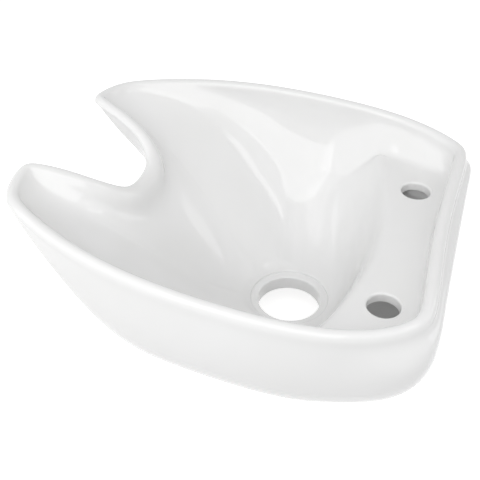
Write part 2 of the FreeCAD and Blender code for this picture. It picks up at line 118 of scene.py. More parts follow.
# ---- tap deck ----
DECK_DEPTH = 47.0             # rim to the tap deck
DECK_EDGE_Y = 102.0           # front edge of the deck on the centre line
DECK_EDGE_R = 410.0           # plan radius of that edge
DECK_EDGE_SOFT = 8.0          # half width of the soft turn into the bowl
DECK_CORNER_Y = 58.0          # where that edge meets the side walls
DECK_WALL_BACK = 9.0          # crest to foot of the wall behind the deck
DECK_WALL_SIDE = 34.0         # crest to foot of the walls beside the deck
DECK_THICKNESS = 11.0         # china over the chamber
TAP_X = 108.0                 # tap holes from the centre line
TAP_Y = 126.0
TAP_HOLE_R = 17.5

# ---- chamber under the deck, open to the back ----
CHAMBER_HALF_TOP = HALF_WIDTH - 67.0
CHAMBER_HALF_FOOT = 112.0
CHAMBER_FLOOR_Z = 62.0
CHAMBER_WALL = 12.0           # china left in front of it and behind it
CHAMBER_CORNER_R = 28.0
WINDOW_HALF = 92.0
WINDOW_LOW = 84.0             # height of the window's lower edge
WINDOW_HEIGHT = 38.0
WINDOW_R = 12.0

# ---- waste ----
WASTE_R = 39.5
WASTE_RECESS_R = 49.0
WASTE_RECESS_DEPTH = 3.0
WASTE_EDGE_R = 2.0            # rounded upper edge of the hole
WASTE_SEAT_R = 62.0           # flat ring under the bowl
FLOOR_R = 56.0                # where the bowl's floor begins
FRONT_SLOPE = 1.00            # steepest rise of the floor towards the horns
FRONT_SLOPE_SOFT = 24.0       # length over which it begins
FRONT_LIP = (32.0, 8.0)       # least depth behind the rim of the horns: outer and notch side
FRONT_SOFT = 12.0             # width of the turns between floor and walls there
STRAIGHT_IN = (8.0, 60.0, 26.0)   # run of a section square to the rim: at notch, horn tip and side

# ---- hull: height of the upright wall and radius of the turn under it ----
HULL_SIDE = (65.0, 79.0)
HULL_CORNER = (52.0, 84.0)
HULL_BACK = (84.0, 56.0)
HULL_HORN = (2.0, 11.0)
HULL_LIP = (1.0, 7.0)         # inner sides of the horns
HULL_NECK = (13.0, 5.0)       # bottom of the neck notch
HULL_BOSS_R = 76.0            # where the hull meets the flat round the waste
WALL = 12.0                   # least china between bowl and hull
LEDGE_DROP = 12.0             # crest line to the ledge behind the rim

# ---- studs for the bracket: pads cast on, sockets, bedding, inserts ----
STUD_X = 45.0
STUD_Y = 75.0
PAD_R = 17.0
SOCKET_R = 10.3
SOCKET_DEPTH = 20.0


def smoothstep(low, high, value):
    t = min(max((value - low) / (high - low), 0.0), 1.0)
    return t * t * (3.0 - 2.0 * t)


def mix(a, b, t):
    return a + (b - a) * t


def mirrored(half):
    """Whole closed list from a right half whose first and last points lie on x = 0."""
    return half + [(-x, y, z) for x, y, z in half[-2:0:-1]]


def spline_point(points, u):
    """Point of the closed uniform cubic B-spline; u = 0 is nearest the first point."""
    i = int(math.floor(u))
    t = u - i
    weights = ((1 - t) ** 3, 3 * t ** 3 - 6 * t ** 2 + 4, -3 * t ** 3 + 3 * t ** 2 + 3 * t + 1, t ** 3)
    n = len(points)
    return [sum(w * points[(i - 1 + k) % n][c] for k, w in enumerate(weights)) / 6 for c in range(3)]


def soft_max(a, b, width):
    return 0.5 * (a + b + math.hypot(a - b, width))


class Station:
    """A place on the rim's crest, with the outward direction in plan."""

    def __init__(self, point, tangent, share):
        self.x, self.y = point[0], point[1]
        self.z = RIM_Z + point[2]
        length = math.hypot(tangent[0], tangent[1])
        self.nx = tangent[1] / length
        self.ny = -tangent[0] / length
        # direction of the section on the bowl's floor, partly by bearing, mostly by rim length
        bearing = math.atan2(self.x, -self.y)
        self.angle = mix(bearing, math.pi * share, 0.7)
        self.share = share

    def out(self, offset, z):
        return (self.x + self.nx * offset, self.y + self.ny * offset, z)

    def ring(self, radius, z):
        return (radius * math.sin(self.angle), -radius * math.cos(self.angle), z)


def rim_stations():
    """Stations from neck to back, even along the crest's length plus its turning."""
    half = [(x * HALF_WIDTH, y * (BACK_Y if y > 0 else -FRONT_Y), z) for x, y, z in RIM_HALF]
    points = mirrored(half)
    last = len(RIM_HALF) - 1
    steps = 60 * last
    samples = [spline_point(points, last * k / steps) for k in range(-1, steps + 2)]
    tangents = [
        (samples[k + 1][0] - samples[k - 1][0], samples[k + 1][1] - samples[k - 1][1])
        for k in range(1, steps + 2)
    ]
    samples = samples[1:-1]
    measure = [0.0]
    for k in range(1, steps + 1):
        a, b = tangents[k - 1], tangents[k]
        turn = abs(math.atan2(a[0] * b[1] - a[1] * b[0], a[0] * b[0] + a[1] * b[1]))
        length = math.dist(samples[k], samples[k - 1])
        beside = smoothstep(0.0, 40.0, samples[k][1]) - smoothstep(80.0, 120.0, samples[k][1])
        measure.append(measure[-1] + length * (1.0 + CORNER_WEIGHT * beside) + TURN_WEIGHT * turn)
    result = []
    k = 0
    for i in range(STATIONS + 1):
        wanted = measure[-1] * i / STATIONS
        while k < steps and measure[k] < wanted - 1e-6:
            k += 1
        result.append(Station(samples[k], tangents[k], i / STATIONS))
    return result


# share of the way to the waste and share of the depth, from the rim's inner side to the floor
NECK_PROFILE = [(0.0, 0.04), (0.05, 0.12), (0.13, 0.23), (0.24, 0.36), (0.37, 0.50),
                (0.51, 0.64), (0.65, 0.77), (0.79, 0.89), (0.91, 0.97), (1.0, 1.0)]
HORN_PROFILE = [(0.0, 0.04), (0.02, 0.09), (0.06, 0.15), (0.14, 0.22), (0.26, 0.32),
                (0.41, 0.46), (0.58, 0.63), (0.75, 0.80), (0.89, 0.94), (1.0, 1.0)]
SIDE_PROFILE = [(0.0, 0.04), (0.03, 0.13), (0.08, 0.25), (0.16, 0.39), (0.27, 0.55),
                (0.40, 0.70), (0.55, 0.82), (0.72, 0.92), (0.87, 0.98), (1.0, 1.0)]


def blend_points(a, b, t):
    return [tuple(mix(p[c], q[c], t) for c in range(len(p))) for p, q in zip(a, b)]


def bowl_rows(s, notch, horn):
    """Rows of the bowl's skin where there is no deck, from the rim down to the floor."""
    profile = blend_points(SIDE_PROFILE, HORN_PROFILE, horn)
    profile = blend_points(profile, NECK_PROFILE, notch)
    floor_z = RIM_Z - BOWL_DEPTH
    front = 1.0 - smoothstep(-200.0, -40.0, s.y)
    start = s.out(-RIM_R - 2.0 * NECK_LEAN * notch, s.z)
    straight = mix(STRAIGHT_IN[0], STRAIGHT_IN[1], smoothstep(0.04, 0.19, s.share))
    straight = mix(straight, STRAIGHT_IN[2], smoothstep(0.20, 0.34, s.share))
    turn = s.out(-RIM_R - straight, s.z)
    end = s.ring(FLOOR_R, floor_z)
    rows = []
    for across, down in profile:
        a, b, c = (1 - across) ** 2, 2 * across * (1 - across), across ** 2
        x = a * start[0] + b * turn[0] + c * end[0]
        y = a * start[1] + b * turn[1] + c * end[1]
        z = mix(s.z, floor_z, down)
        # between the horns and the waste the floor is no deeper than this slope
        reach = max(math.hypot(x, y) - FLOOR_R, 0.0)
        slope_z = floor_z + FRONT_SLOPE * reach ** 2 / (reach + FRONT_SLOPE_SOFT)
        away = math.hypot(x - start[0], y - start[1])
        lip_z = s.z - mix(*FRONT_LIP, notch) * (1.0 - math.exp(-away / mix(10.0, 20.0, notch)))
        least_z = -soft_max(-slope_z, -lip_z, 0.5 * FRONT_SOFT)
        rows.append((x, y, mix(z, soft_max(z, least_z, FRONT_SOFT), front)))
    return rows


def deck_rows(s):
    """The same rows where the section crosses the tap deck."""
    deck_z = RIM_Z - DECK_DEPTH
    floor_z = RIM_Z - BOWL_DEPTH
    side = s.nx * s.nx
    foot = mix(DECK_WALL_BACK, DECK_WALL_SIDE, side)
    f = s.out(-foot, deck_z)
    # the deck's edge is an arc; each section crosses it on its way to the waste
    edge_x = f[0] * (1.0 - 0.10 * smoothstep(DECK_CORNER_Y, DECK_EDGE_Y + 25.0, f[1]))
    edge_y = DECK_EDGE_Y - DECK_EDGE_R + math.sqrt(DECK_EDGE_R ** 2 - edge_x ** 2)
    edge_y = min(edge_y, f[1] - 4.0)
    end = s.ring(FLOOR_R, floor_z)
    length = math.hypot(end[0] - edge_x, end[1] - edge_y)
    ux, uy = (end[0] - edge_x) / length, (end[1] - edge_y) / length
    soft = min(DECK_EDGE_SOFT, 0.45 * math.hypot(f[0] - edge_x, f[1] - edge_y))

    def along(distance, z):
        return (edge_x + ux * distance, edge_y + uy * distance, z)

    back = along(-soft, deck_z)
    return [
        s.out(-RIM_R, mix(s.z, deck_z, 0.18)),
        s.out(mix(-RIM_R, -foot, 0.35), mix(s.z, deck_z, 0.55)),
        s.out(mix(-RIM_R, -foot, 0.85), mix(s.z, deck_z, 0.93)),
        (mix(f[0], back[0], 0.22), mix(f[1], back[1], 0.22), deck_z),
        (mix(f[0], back[0], 0.62), mix(f[1], back[1], 0.62), deck_z),
        back,
        along(DECK_EDGE_SOFT * 0.6, deck_z - DECK_EDGE_SOFT * 0.35),
        along(length * 0.36, mix(deck_z, floor_z, 0.48)),
        along(length * 0.72, mix(deck_z, floor_z, 0.90)),
        end,
    ]


def rim_rows(s, notch):
    """Five control points over the rolled rim, from its inner to its outer side."""
    cage_r = RIM_R * 3.0 / (2.0 + math.cos(math.pi / 4.0))
    rows = []
    for k in range(5):
        angle = math.pi - k * math.pi / 4.0
        rows.append(s.out(cage_r * math.cos(angle), s.z + cage_r * math.sin(angle)))
    # the inner side leans out where the neck rests
    rows[0] = s.out(-cage_r - NECK_LEAN * notch, s.z + 0.3 * NECK_LEAN * notch)
    return rows


def hull_rows(s, notch):
    """Rows of the outer skin, from the rim's outer side down and in to the waste seat."""
    size = blend_points([HULL_HORN], [HULL_SIDE], smoothstep(-280.0, -110.0, s.y))
    size = blend_points(size, [HULL_CORNER], smoothstep(60.0, 145.0, s.y))
    ledge = smoothstep(0.80, 1.0, s.ny) * smoothstep(BACK_Y - 40.0, BACK_Y - 20.0, s.y)
    size = blend_points(size, [HULL_BACK], ledge * smoothstep(0.72, 0.40, s.x / HALF_WIDTH))
    size = blend_points(size, [HULL_LIP], notch)
    size = blend_points(size, [HULL_NECK], 1.0 - smoothstep(0.05, 0.13, s.share))
    wall, bilge = size[0]
    back = smoothstep(0.35, 0.95, s.ny) * (1.0 if s.y > 0.0 else 0.0)
    tip = max(notch, 1.0 - smoothstep(-300.0, -200.0, s.y))
    full = mix(mix(RIM_R + 1.5, RIM_R - 1.5, tip), BACK_Y - s.y, back)
    top = s.z
    low = s.z - wall
    start = s.out(full - bilge, low - bilge)
    end = s.ring(HULL_BOSS_R, HULL_CLEARANCE)

    def wall_point(offset, z):
        x, y, z = s.out(offset, z)
        return (x, mix(y, BACK_Y - full + offset, back), z)

    def slope(share, drop, ledge_share, ledge_drop):
        """Point of the wall's top: a slope from rim to full width, or a ledge behind the rim."""
        offset = mix(RIM_R, full, mix(share, ledge_share, ledge))
        return s.out(offset, top - mix(drop * wall, ledge_drop, ledge))

    rows = [
        slope(0.05, 0.12, 0.00, LEDGE_DROP * 0.50),
        slope(0.25, 0.24, 0.30, LEDGE_DROP * 0.95),
        slope(0.62, 0.38, 0.85, LEDGE_DROP + 2.0),
        slope(0.92, 0.60, 1.00, LEDGE_DROP + 10.0),
        wall_point(full, mix(top, low, 0.90)),
        wall_point(full - 0.05 * bilge, low - 0.30 * bilge),
        wall_point(full - 0.32 * bilge, low - 0.72 * bilge),
        start,
    ]
    for share in (0.22, 0.5, 0.8, 1.0):
        fall = share ** 0.9
        x, y = mix(start[0], end[0], share), mix(start[1], end[1], share)
        rows.append((x, y, mix(start[2], end[2], fall)))
    return rows


def section(s):
    """Closed loop of control points through one station."""
    outside = smoothstep(0.19, 0.30, s.share)
    horn = 1.0 - smoothstep(-290.0, -90.0, s.y) * outside
    notch = 1.0 - smoothstep(0.02, 0.19, s.share)
    deck = deck_share(s)
    bowl = bowl_rows(s, notch, horn)
    if deck > 0.0:
        bowl = blend_points(bowl, deck_rows(s), deck)
    hull = hull_rows(s, 1.0 - outside)
    middle_r = WASTE_R - 9.0
    waste = [
        s.ring(middle_r, HULL_CLEARANCE),
        s.ring(middle_r - 4.0, 12.0),
        s.ring(middle_r, RIM_Z - BOWL_DEPTH),
    ]
    return waste + bowl[::-1] + rim_rows(s, notch) + hull


def deck_share(s):
    """How far a section is drawn over the deck and not down the bowl's side."""
    return smoothstep(20.0, 80.0, s.y)


# rows of a section that are evened out along the rim, and how many times
FAIRED_BOWL = {4: 2, 5: 4, 6: 6, 7: 8, 8: 8, 9: 6, 10: 3}
FAIRED_UNDER_DECK = {4: 6, 5: 6, 6: 2}
FAIRED_WALL = {22: 1, 23: 2, 24: 3}
FAIRED_KEEL = {25: 4, 26: 6, 27: 6, 28: 3}
BOWL_ROWS = range(3, 13)      # floor to rim
KEEL_ROWS = range(24, 29)     # hull rows that lie under the bowl


def faired(ring, rows, hold):
    """Sections with some rows evened out from one to the next; hold is each section's resistance."""
    n = len(ring)
    for row, rounds in rows.items():
        for _ in range(rounds):
            line = [points[row] for points in ring]
            for i in range(n):
                near = [(line[i - 1][c] + 2 * line[i][c] + line[(i + 1) % n][c]) / 4 for c in range(3)]
                ring[i][row] = tuple(mix(near[c], line[i][c], hold[i]) for c in range(3))


def keep_wall(ring):
    """Lower the hull wherever less than the wall's thickness is left under the bowl."""
    n = len(ring)
    limits = []
    for i in range(n):
        line = []
        for row in BOWL_ROWS:
            x, y, z = ring[i][row]
            ax, ay, az = (p - q for p, q in zip(ring[i][row + 1], ring[i][row - 1]))
            bx, by, bz = (p - q for p, q in zip(ring[(i + 1) % n][row], ring[i - 1][row]))
            nx, ny, nz = ay * bz - az * by, az * bx - ax * bz, ax * by - ay * bx
            level = abs(nz) / math.sqrt(nx * nx + ny * ny + nz * nz)
            line.append((math.hypot(x, y), z - WALL / max(level, 0.65)))
        limits.append(line)
    for i in range(n):
        for row in KEEL_ROWS:
            x, y, z = ring[i][row]
            reach = math.hypot(x, y)
            for (near, low), (far, high) in zip(limits[i], limits[i][1:]):
                if near <= reach <= far:
                    z = min(z, mix(low, high, (reach - near) / (far - near)))
            ring[i][row] = (x, y, z)


def closed_cage():
    """All sections right round the basin, pushed out so that the skin passes through the stations."""
    stations = rim_stations()
    half = [section(s) for s in stations]
    left = [[(-x, y, z) for x, y, z in row] for row in half[-2:0:-1]]
    hold = [max(deck_share(s), 0.75 - 0.75 * smoothstep(0.10, 0.25, s.share)) for s in stations]
    hold += hold[-2:0:-1]
    front = [1.0 - smoothstep(-100.0, 40.0, s.y) for s in stations]
    front += front[-2:0:-1]
    ring = half + left
    faired(ring, FAIRED_BOWL, hold)
    faired(ring, FAIRED_UNDER_DECK, [1.0 - smoothstep(-80.0, 0.0, points[12][1]) for points in ring])
    faired(ring, FAIRED_WALL, front)
    faired(ring, FAIRED_KEEL, [0.0] * len(ring))
    keep_wall(ring)
    n = len(ring)
    cage = []
    for i in range(n):
        before, here, after = ring[i - 1], ring[i], ring[(i + 1) % n]
        cage.append([
            tuple(h[c] + (2 * h[c] - b[c] - a[c]) / 6.0 for c in range(3))
            for b, h, a in zip(before, here, after)
        ])
    return cage


# ---- the casting as a fine mesh of the same surface ----
COLUMN_STEPS = 6              # mesh columns between two stations
ROW_STEPS = 5                 # mesh rows between two rows of control points
FLOOR_ROW = 3                 # control row at the edge of the bowl's floor
HULL_END_ROW = 29             # control row at the edge of the flat round the seat
CREST_ROW = 15                # control row on the rim's crest
EASE_ROWS = (6, 14)           # control rows from bowl to rim, the second left out
EASE_ROUNDS = 3               # how often those rows are evened out in the horns
EASE_Y = (-230.0, -130.0)     # from here to there that fades out
CURVE_STEPS = 7               # points on a small rounded edge
CORNER_STEPS = 9              # points on a quarter turn in plan
BOWL_SIDE_STEPS = 25          # points on the chamber's curved front
TURN_STEPS = 96               # points round a tap hole
SMALL_TURN_STEPS = 64         # points round a pad or a socket
SHARP_ANGLE = 38.0            # edges that turn by more than this are shaded sharp

# radii of the glazed edges
TAP_EDGE_R = 2.5
WINDOW_EDGE_R = 4.0
RECESS_EDGE_R = 1.2
SEAT_EDGE_R = 1.0
SEAT_FOOT_R = 1.5             # between the seat's side and the hull
PAD_EDGE_R = 1.5
SOCKET_EDGE_R = 0.5

# how far the cutters and pads go past the faces that they meet
CUTTER_PAST = 3.0             # out of a tap hole or a socket
CUTTER_FLARE = 0.2            # wider than the rounded edge there
TAP_CUTTER_INTO = 8.0         # from the deck's underside into the chamber
WINDOW_CUTTER_INTO = 34.0     # from the back face into the chamber
WINDOW_CUTTER_PAST = 5.0
WINDOW_FLARE = 0.3
PAD_INTO = 4.0                # from the socket's end into the casting

# foot of the chamber under the deck
CHAMBER_FOOT_FRONT = 8.0      # how far it reaches in front of the deck's edge
CHAMBER_FOOT_BACK = 14.0      # how far it stands in from the chamber's top at the back


def spline_rows(poles, steps):
    """Points of closed uniform cubic B-splines along the first axis of an array of poles."""
    t = (np.arange(steps) / steps)[None, :, None, None]
    before, after, last = np.roll(poles, 1, 0), np.roll(poles, -1, 0), np.roll(poles, -2, 0)
    rows = (
        (1 - t) ** 3 * before[:, None] + (3 * t ** 3 - 6 * t ** 2 + 4) * poles[:, None]
        + (-3 * t ** 3 + 3 * t ** 2 + 3 * t + 1) * after[:, None] + t ** 3 * last[:, None]
    )
    return rows.reshape(-1, *poles.shape[1:]) / 6.0


def arc(centre_r, centre_z, radius, start, end):
    """Points (r, z) on a circle, angles in degrees."""
    return [
        (centre_r + radius * math.cos(math.radians(a)), centre_z + radius * math.sin(math.radians(a)))
        for a in np.linspace(start, end, CURVE_STEPS)
    ]


def waste_profile():
    """(r, z) from the flat under the hull over the seat and up the hole to the bowl's floor.

    Single points are rings of the mesh on the flat or straight stretches between the edges.
    """
    floor_z = RIM_Z - BOWL_DEPTH
    recess_z = floor_z - WASTE_RECESS_DEPTH
    e, s, q, f = WASTE_EDGE_R, SEAT_EDGE_R, RECESS_EDGE_R, SEAT_FOOT_R
    profile = [(WASTE_SEAT_R + 4.0, HULL_CLEARANCE)]
    profile += arc(WASTE_SEAT_R + f, HULL_CLEARANCE - f, f, 90, 180)
    profile += arc(WASTE_SEAT_R - s, s, s, 0, -90)
    profile += [(WASTE_SEAT_R - 8.0, 0.0), (WASTE_R + 6.0, 0.0)]
    profile += arc(WASTE_R + s, s, s, -90, -180)
    profile += [(WASTE_R, 0.5 * recess_z)]
    profile += arc(WASTE_R + e, recess_z - e, e, 180, 90)
    profile += [(WASTE_R + e + 2.5, recess_z)]
    profile += arc(WASTE_RECESS_R - q, recess_z + q, q, -90, 0)
    # the skin ends a little above floor_z, so the recess's upper edge rises to it
    profile += arc(WASTE_RECESS_R + q + 0.4, floor_z - q + 0.35, q + 0.4, 180, 95)
    return profile


def eased_front(poles):
    """The cage with the turns between rim and floor made softer in the horns and at the notch."""
    soft = poles.copy()
    low, high = EASE_ROWS
    for _ in range(EASE_ROUNDS):
        below, above = soft[:, low - 1:high - 1], soft[:, low + 1:high + 1]
        soft[:, low:high] = (below + 2.0 * soft[:, low:high] + above) / 4.0
    for i, crest in enumerate(poles[:, CREST_ROW]):
        soft[i] = mix(soft[i], poles[i], smoothstep(*EASE_Y, crest[1]))
    return soft


def skin_grid():
    """Rows of points right round the casting: surface from floor to hull, then the waste's profile."""
    poles = eased_front(np.array(closed_cage()))
    surface = spline_rows(poles, COLUMN_STEPS)
    surface = spline_rows(surface.transpose(1, 0, 2), ROW_STEPS).transpose(1, 0, 2)
    surface = surface[:, FLOOR_ROW * ROW_STEPS:HULL_END_ROW * ROW_STEPS + 1]
    bearing = np.arctan2(surface[:, 0, 0], -surface[:, 0, 1])
    rings = [
        np.stack([r * np.sin(bearing), -r * np.cos(bearing), np.full_like(bearing, z)], axis=1)
        for r, z in waste_profile()
    ]
    return np.concatenate([surface, np.stack(rings, axis=1)], axis=1) * MM


def mesh_object(name, vertices, faces):
    """Linked object with that mesh, its faces turned outwards."""
    mesh = bpy.data.meshes.new(name)
    mesh.from_pydata([tuple(v) for v in vertices], [], faces)
    mesh.validate()
    body = bmesh.new()
    body.from_mesh(mesh)
    bmesh.ops.recalc_face_normals(body, faces=body.faces)
    body.to_mesh(mesh)
    body.free()
    obj = bpy.data.objects.new(name, mesh)
    bpy.context.collection.objects.link(obj)
    return obj


def closed_both_ways(name, grid):
    """Quad mesh over a grid of points that closes in both directions."""
    n, m = grid.shape[:2]
    faces = [
        (i * m + j, (i + 1) % n * m + j, (i + 1) % n * m + (j + 1) % m, i * m + (j + 1) % m)
        for i in range(n) for j in range(m)
    ]
    return mesh_object(name, grid.reshape(-1, 3), faces)


def stacked(name, outlines):
    """Mesh through equal closed outlines, capped at both ends."""
    count, n = len(outlines), len(outlines[0])
    vertices = [p for outline in outlines for p in outline]
    faces = []
    for a in range(0, (count - 1) * n, n):
        faces += [(a + i, a + (i + 1) % n, a + n + (i + 1) % n, a + n + i) for i in range(n)]
    faces += [tuple(range(n)), tuple(range((count - 1) * n, count * n))]
    return mesh_object(name, vertices, faces)


def turned(name, profile, x, y, steps):
    """Solid turned about a vertical axis; profile holds (r, z) in millimetres."""
    return stacked(name, [[
        ((x + r * math.cos(a)) * MM, (y + r * math.sin(a)) * MM, z * MM)
        for a in 2.0 * math.pi * np.arange(steps) / steps
    ] for r, z in profile])


def tap_hole_cutter(side):
    """Tap hole with a rounded upper edge."""
    deck_z = RIM_Z - DECK_DEPTH
    e = TAP_EDGE_R
    profile = [(TAP_HOLE_R, deck_z - DECK_THICKNESS - TAP_CUTTER_INTO)]
    profile += arc(TAP_HOLE_R + e, deck_z - e, e, 180, 90)
    profile += [(TAP_HOLE_R + e + CUTTER_FLARE, deck_z + CUTTER_PAST)]
    return turned("tap_hole_cutter", profile, side * TAP_X, TAP_Y, TURN_STEPS)


def rounded_outline(half_x, half_z, radius, y, middle_z):
    """Closed rounded rectangle in a plane of constant y."""
    points = []
    for cx, cz, start in ((1, 1, 0), (-1, 1, 90), (-1, -1, 180), (1, -1, 270)):
        for a in np.linspace(start, start + 90, CORNER_STEPS):
            points.append((
                (cx * (half_x - radius) + radius * math.cos(math.radians(a))) * MM,
                y * MM,
                (middle_z + cz * (half_z - radius) + radius * math.sin(math.radians(a))) * MM,
            ))
    return points


def window_cutter():
    """Window in the back face, rounded at its outer edge."""
    half_z = WINDOW_HEIGHT / 2.0
    e = WINDOW_EDGE_R
    profile = [(0.0, BACK_Y - WINDOW_CUTTER_INTO)]
    profile += [
        (e * (1 - math.cos(math.radians(a))), BACK_Y - e + e * math.sin(math.radians(a)))
        for a in np.linspace(0, 88, CURVE_STEPS)
    ]
    profile += [(e + WINDOW_FLARE, BACK_Y + WINDOW_CUTTER_PAST)]
    return stacked("window_cutter", [
        rounded_outline(WINDOW_HALF + grow, half_z + grow, WINDOW_R + grow, y, WINDOW_LOW + half_z)
        for grow, y in profile
    ])


def chamber_outline(half, front_r, back_y, z):
    """Plan of the chamber at one height: the bowl's curve in front, flat behind, round corners."""
    centre_y = DECK_EDGE_Y - DECK_EDGE_R
    r = CHAMBER_CORNER_R
    spread = math.asin(half / front_r)
    points = [
        (front_r * math.sin(a), centre_y + front_r * math.cos(a))
        for a in np.linspace(-spread, spread, BOWL_SIDE_STEPS)
    ]
    for side, start in ((1, 0), (-1, 90)):
        points += [
            (side * (half - r) + r * math.cos(math.radians(a)), back_y - r + r * math.sin(math.radians(a)))
            for a in np.linspace(start, start + 90, CORNER_STEPS)
        ]
    return [(x * MM, y * MM, z * MM) for x, y in points]


def chamber_cutter():
    """Room under the tap deck, narrower at its foot."""
    top_z = RIM_Z - DECK_DEPTH - DECK_THICKNESS
    back_y = BACK_Y - CHAMBER_WALL
    foot_r, foot_y = DECK_EDGE_R - CHAMBER_FOOT_FRONT, back_y - CHAMBER_FOOT_BACK
    return stacked("chamber_cutter", [
        chamber_outline(CHAMBER_HALF_FOOT, foot_r, foot_y, CHAMBER_FLOOR_Z),
        chamber_outline(CHAMBER_HALF_TOP, DECK_EDGE_R + CHAMBER_WALL, back_y, top_z),
    ])


def pad(x, y):
    """Cast pad round one stud socket, rounded at its foot."""
    e = PAD_EDGE_R
    profile = [(PAD_R, SOCKET_DEPTH + PAD_INTO)] + arc(PAD_R - e, e, e, 0, -90)
    return turned("pad", profile, x, y, SMALL_TURN_STEPS)


def socket_cutter(x, y):
    """Blind socket that the resin and the threaded insert fill."""
    e = SOCKET_EDGE_R
    profile = [(SOCKET_R, SOCKET_DEPTH)] + arc(SOCKET_R + e, e, e, -180, -90)
    profile += [(SOCKET_R + e + CUTTER_FLARE, -CUTTER_PAST)]
    return turned("socket_cutter", profile, x, y, SMALL_TURN_STEPS)


def combine(obj, others, operation):
    """Join the others to the object, or cut them out of it, and remove them."""
    for other in others:
        modifier = obj.modifiers.new("combine", "BOOLEAN")
        modifier.operation = operation
        modifier.solver = "EXACT"
        modifier.object = other
        apply_modifiers(obj)
        bpy.data.objects.remove(other, do_unlink=True)


def apply_modifiers(obj):
    """Keep the mesh as the modifiers make it, and remove them."""
    graph = bpy.context.evaluated_depsgraph_get()
    mesh = bpy.data.meshes.new_from_object(obj.evaluated_get(graph))
    obj.modifiers.clear()
    obj.data = mesh


def casting():
    """The glazed casting, which stands for the CAD body of the same form."""
    obj = closed_both_ways("basin_glazed", skin_grid())
    stud_places = [(sx * STUD_X, sy * STUD_Y) for sx in (-1, 1) for sy in (-1, 1)]
    combine(obj, [pad(x, y) for x, y in stud_places], "UNION")
    combine(obj, [socket_cutter(x, y) for x, y in stud_places], "DIFFERENCE")
    combine(obj, [chamber_cutter(), window_cutter(), tap_hole_cutter(-1), tap_hole_cutter(1)], "DIFFERENCE")
    obj.data.shade_smooth()
    obj.data.set_sharp_from_angle(angle=math.radians(SHARP_ANGLE))
    obj.data.materials.clear()
    obj.data.materials.append(china_material())
    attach(obj, "root")
    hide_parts("basin_body")


# ---- materials ----
def new_material(name):
    """Material with a Principled shader; returns it, its tree and the shader."""
    material = bpy.data.materials.new(name)
    material.use_nodes = True
    tree = material.node_tree
    return material, tree, tree.nodes["Principled BSDF"]


def noise(tree, scale, detail=2.0, stretch=None):
    """Noise over the object's own coordinates, in metres."""
    coordinates = tree.nodes.new("ShaderNodeTexCoord")
    texture = tree.nodes.new("ShaderNodeTexNoise")
    texture.inputs["Scale"].default_value = scale
    texture.inputs["Detail"].default_value = detail
    source = coordinates.outputs["Object"]
    if stretch:
        mapping = tree.nodes.new("ShaderNodeMapping")
        mapping.inputs["Scale"].default_value = stretch
        tree.links.new(source, mapping.inputs["Vector"])
        source = mapping.outputs["Vector"]
    tree.links.new(source, texture.inputs["Vector"])
    return texture.outputs["Fac"]


def ranged(tree, value, low=0.0, high=1.0):
    """Value of 0.3 to 0.7, where most noise lies, spread over a new range."""
    node = tree.nodes.new("ShaderNodeMapRange")
    node.inputs["From Min"].default_value = 0.3
    node.inputs["From Max"].default_value = 0.7
    node.inputs["To Min"].default_value = low
    node.inputs["To Max"].default_value = high
    tree.links.new(value, node.inputs["Value"])
    return node.outputs["Result"]


def two_colours(tree, factor, a, b):
    """Colour that goes from a to b with the factor."""
    node = tree.nodes.new("ShaderNodeMix")
    node.data_type = "RGBA"
    node.inputs["A"].default_value = (*a, 1.0)
    node.inputs["B"].default_value = (*b, 1.0)
    tree.links.new(factor, node.inputs["Factor"])
    return node.outputs["Result"]


def add_bump(tree, shader, height, strength, distance):
    bump = tree.nodes.new("ShaderNodeBump")
    bump.inputs["Strength"].default_value = strength
    bump.inputs["Distance"].default_value = distance
    tree.links.new(height, bump.inputs["Height"])
    tree.links.new(bump.outputs["Normal"], shader.inputs["Normal"])


def china_material():
    """White glaze over china; the seat and the pads' faces are left unglazed."""
    material, tree, shader = new_material("glazed_china_white")
    links = tree.links
    glaze = two_colours(tree, ranged(tree, noise(tree, scale=9.0)), GLAZE_WHITE, GLAZE_SHADE)
    grain = noise(tree, scale=260.0, detail=4.0)
    bisque = two_colours(tree, ranged(tree, grain), BISQUE, BISQUE_SHADE)
    position = tree.nodes.new("ShaderNodeSeparateXYZ")
    coordinates = tree.nodes.new("ShaderNodeTexCoord")
    links.new(coordinates.outputs["Object"], position.inputs["Vector"])
    bare = tree.nodes.new("ShaderNodeMapRange")
    bare.inputs["From Min"].default_value = BISQUE_Z[1] * MM
    bare.inputs["From Max"].default_value = BISQUE_Z[0] * MM
    links.new(position.outputs["Z"], bare.inputs["Value"])
    colour = tree.nodes.new("ShaderNodeMix")
    colour.data_type = "RGBA"
    links.new(bare.outputs["Result"], colour.inputs["Factor"])
    links.new(glaze, colour.inputs["A"])
    links.new(bisque, colour.inputs["B"])
    links.new(colour.outputs["Result"], shader.inputs["Base Color"])
    roughness = tree.nodes.new("ShaderNodeMix")
    links.new(bare.outputs["Result"], roughness.inputs["Factor"])
    links.new(ranged(tree, noise(tree, scale=14.0), *GLAZE_ROUGHNESS), roughness.inputs["A"])
    roughness.inputs["B"].default_value = BISQUE_ROUGHNESS
    links.new(roughness.outputs["Result"], shader.inputs["Roughness"])
    shader.inputs["IOR"].default_value = GLAZE_IOR
    add_bump(tree, shader, noise(tree, scale=38.0, detail=1.0), strength=0.05, distance=0.0006)
    return material


def grained_material(name, light, dark, roughness, grain, dulling_scale, metallic, bump):
    """Material with a grain in colour and relief, and an uneven gloss.

    grain holds the values that noise() takes, bump the ones that add_bump() takes.
    """
    material, tree, shader = new_material(name)
    marks = noise(tree, *grain)
    dulling = noise(tree, dulling_scale)
    tree.links.new(two_colours(tree, ranged(tree, marks), light, dark), shader.inputs["Base Color"])
    tree.links.new(ranged(tree, dulling, *roughness), shader.inputs["Roughness"])
    shader.inputs["Metallic"].default_value = metallic
    add_bump(tree, shader, marks, *bump)
    return material


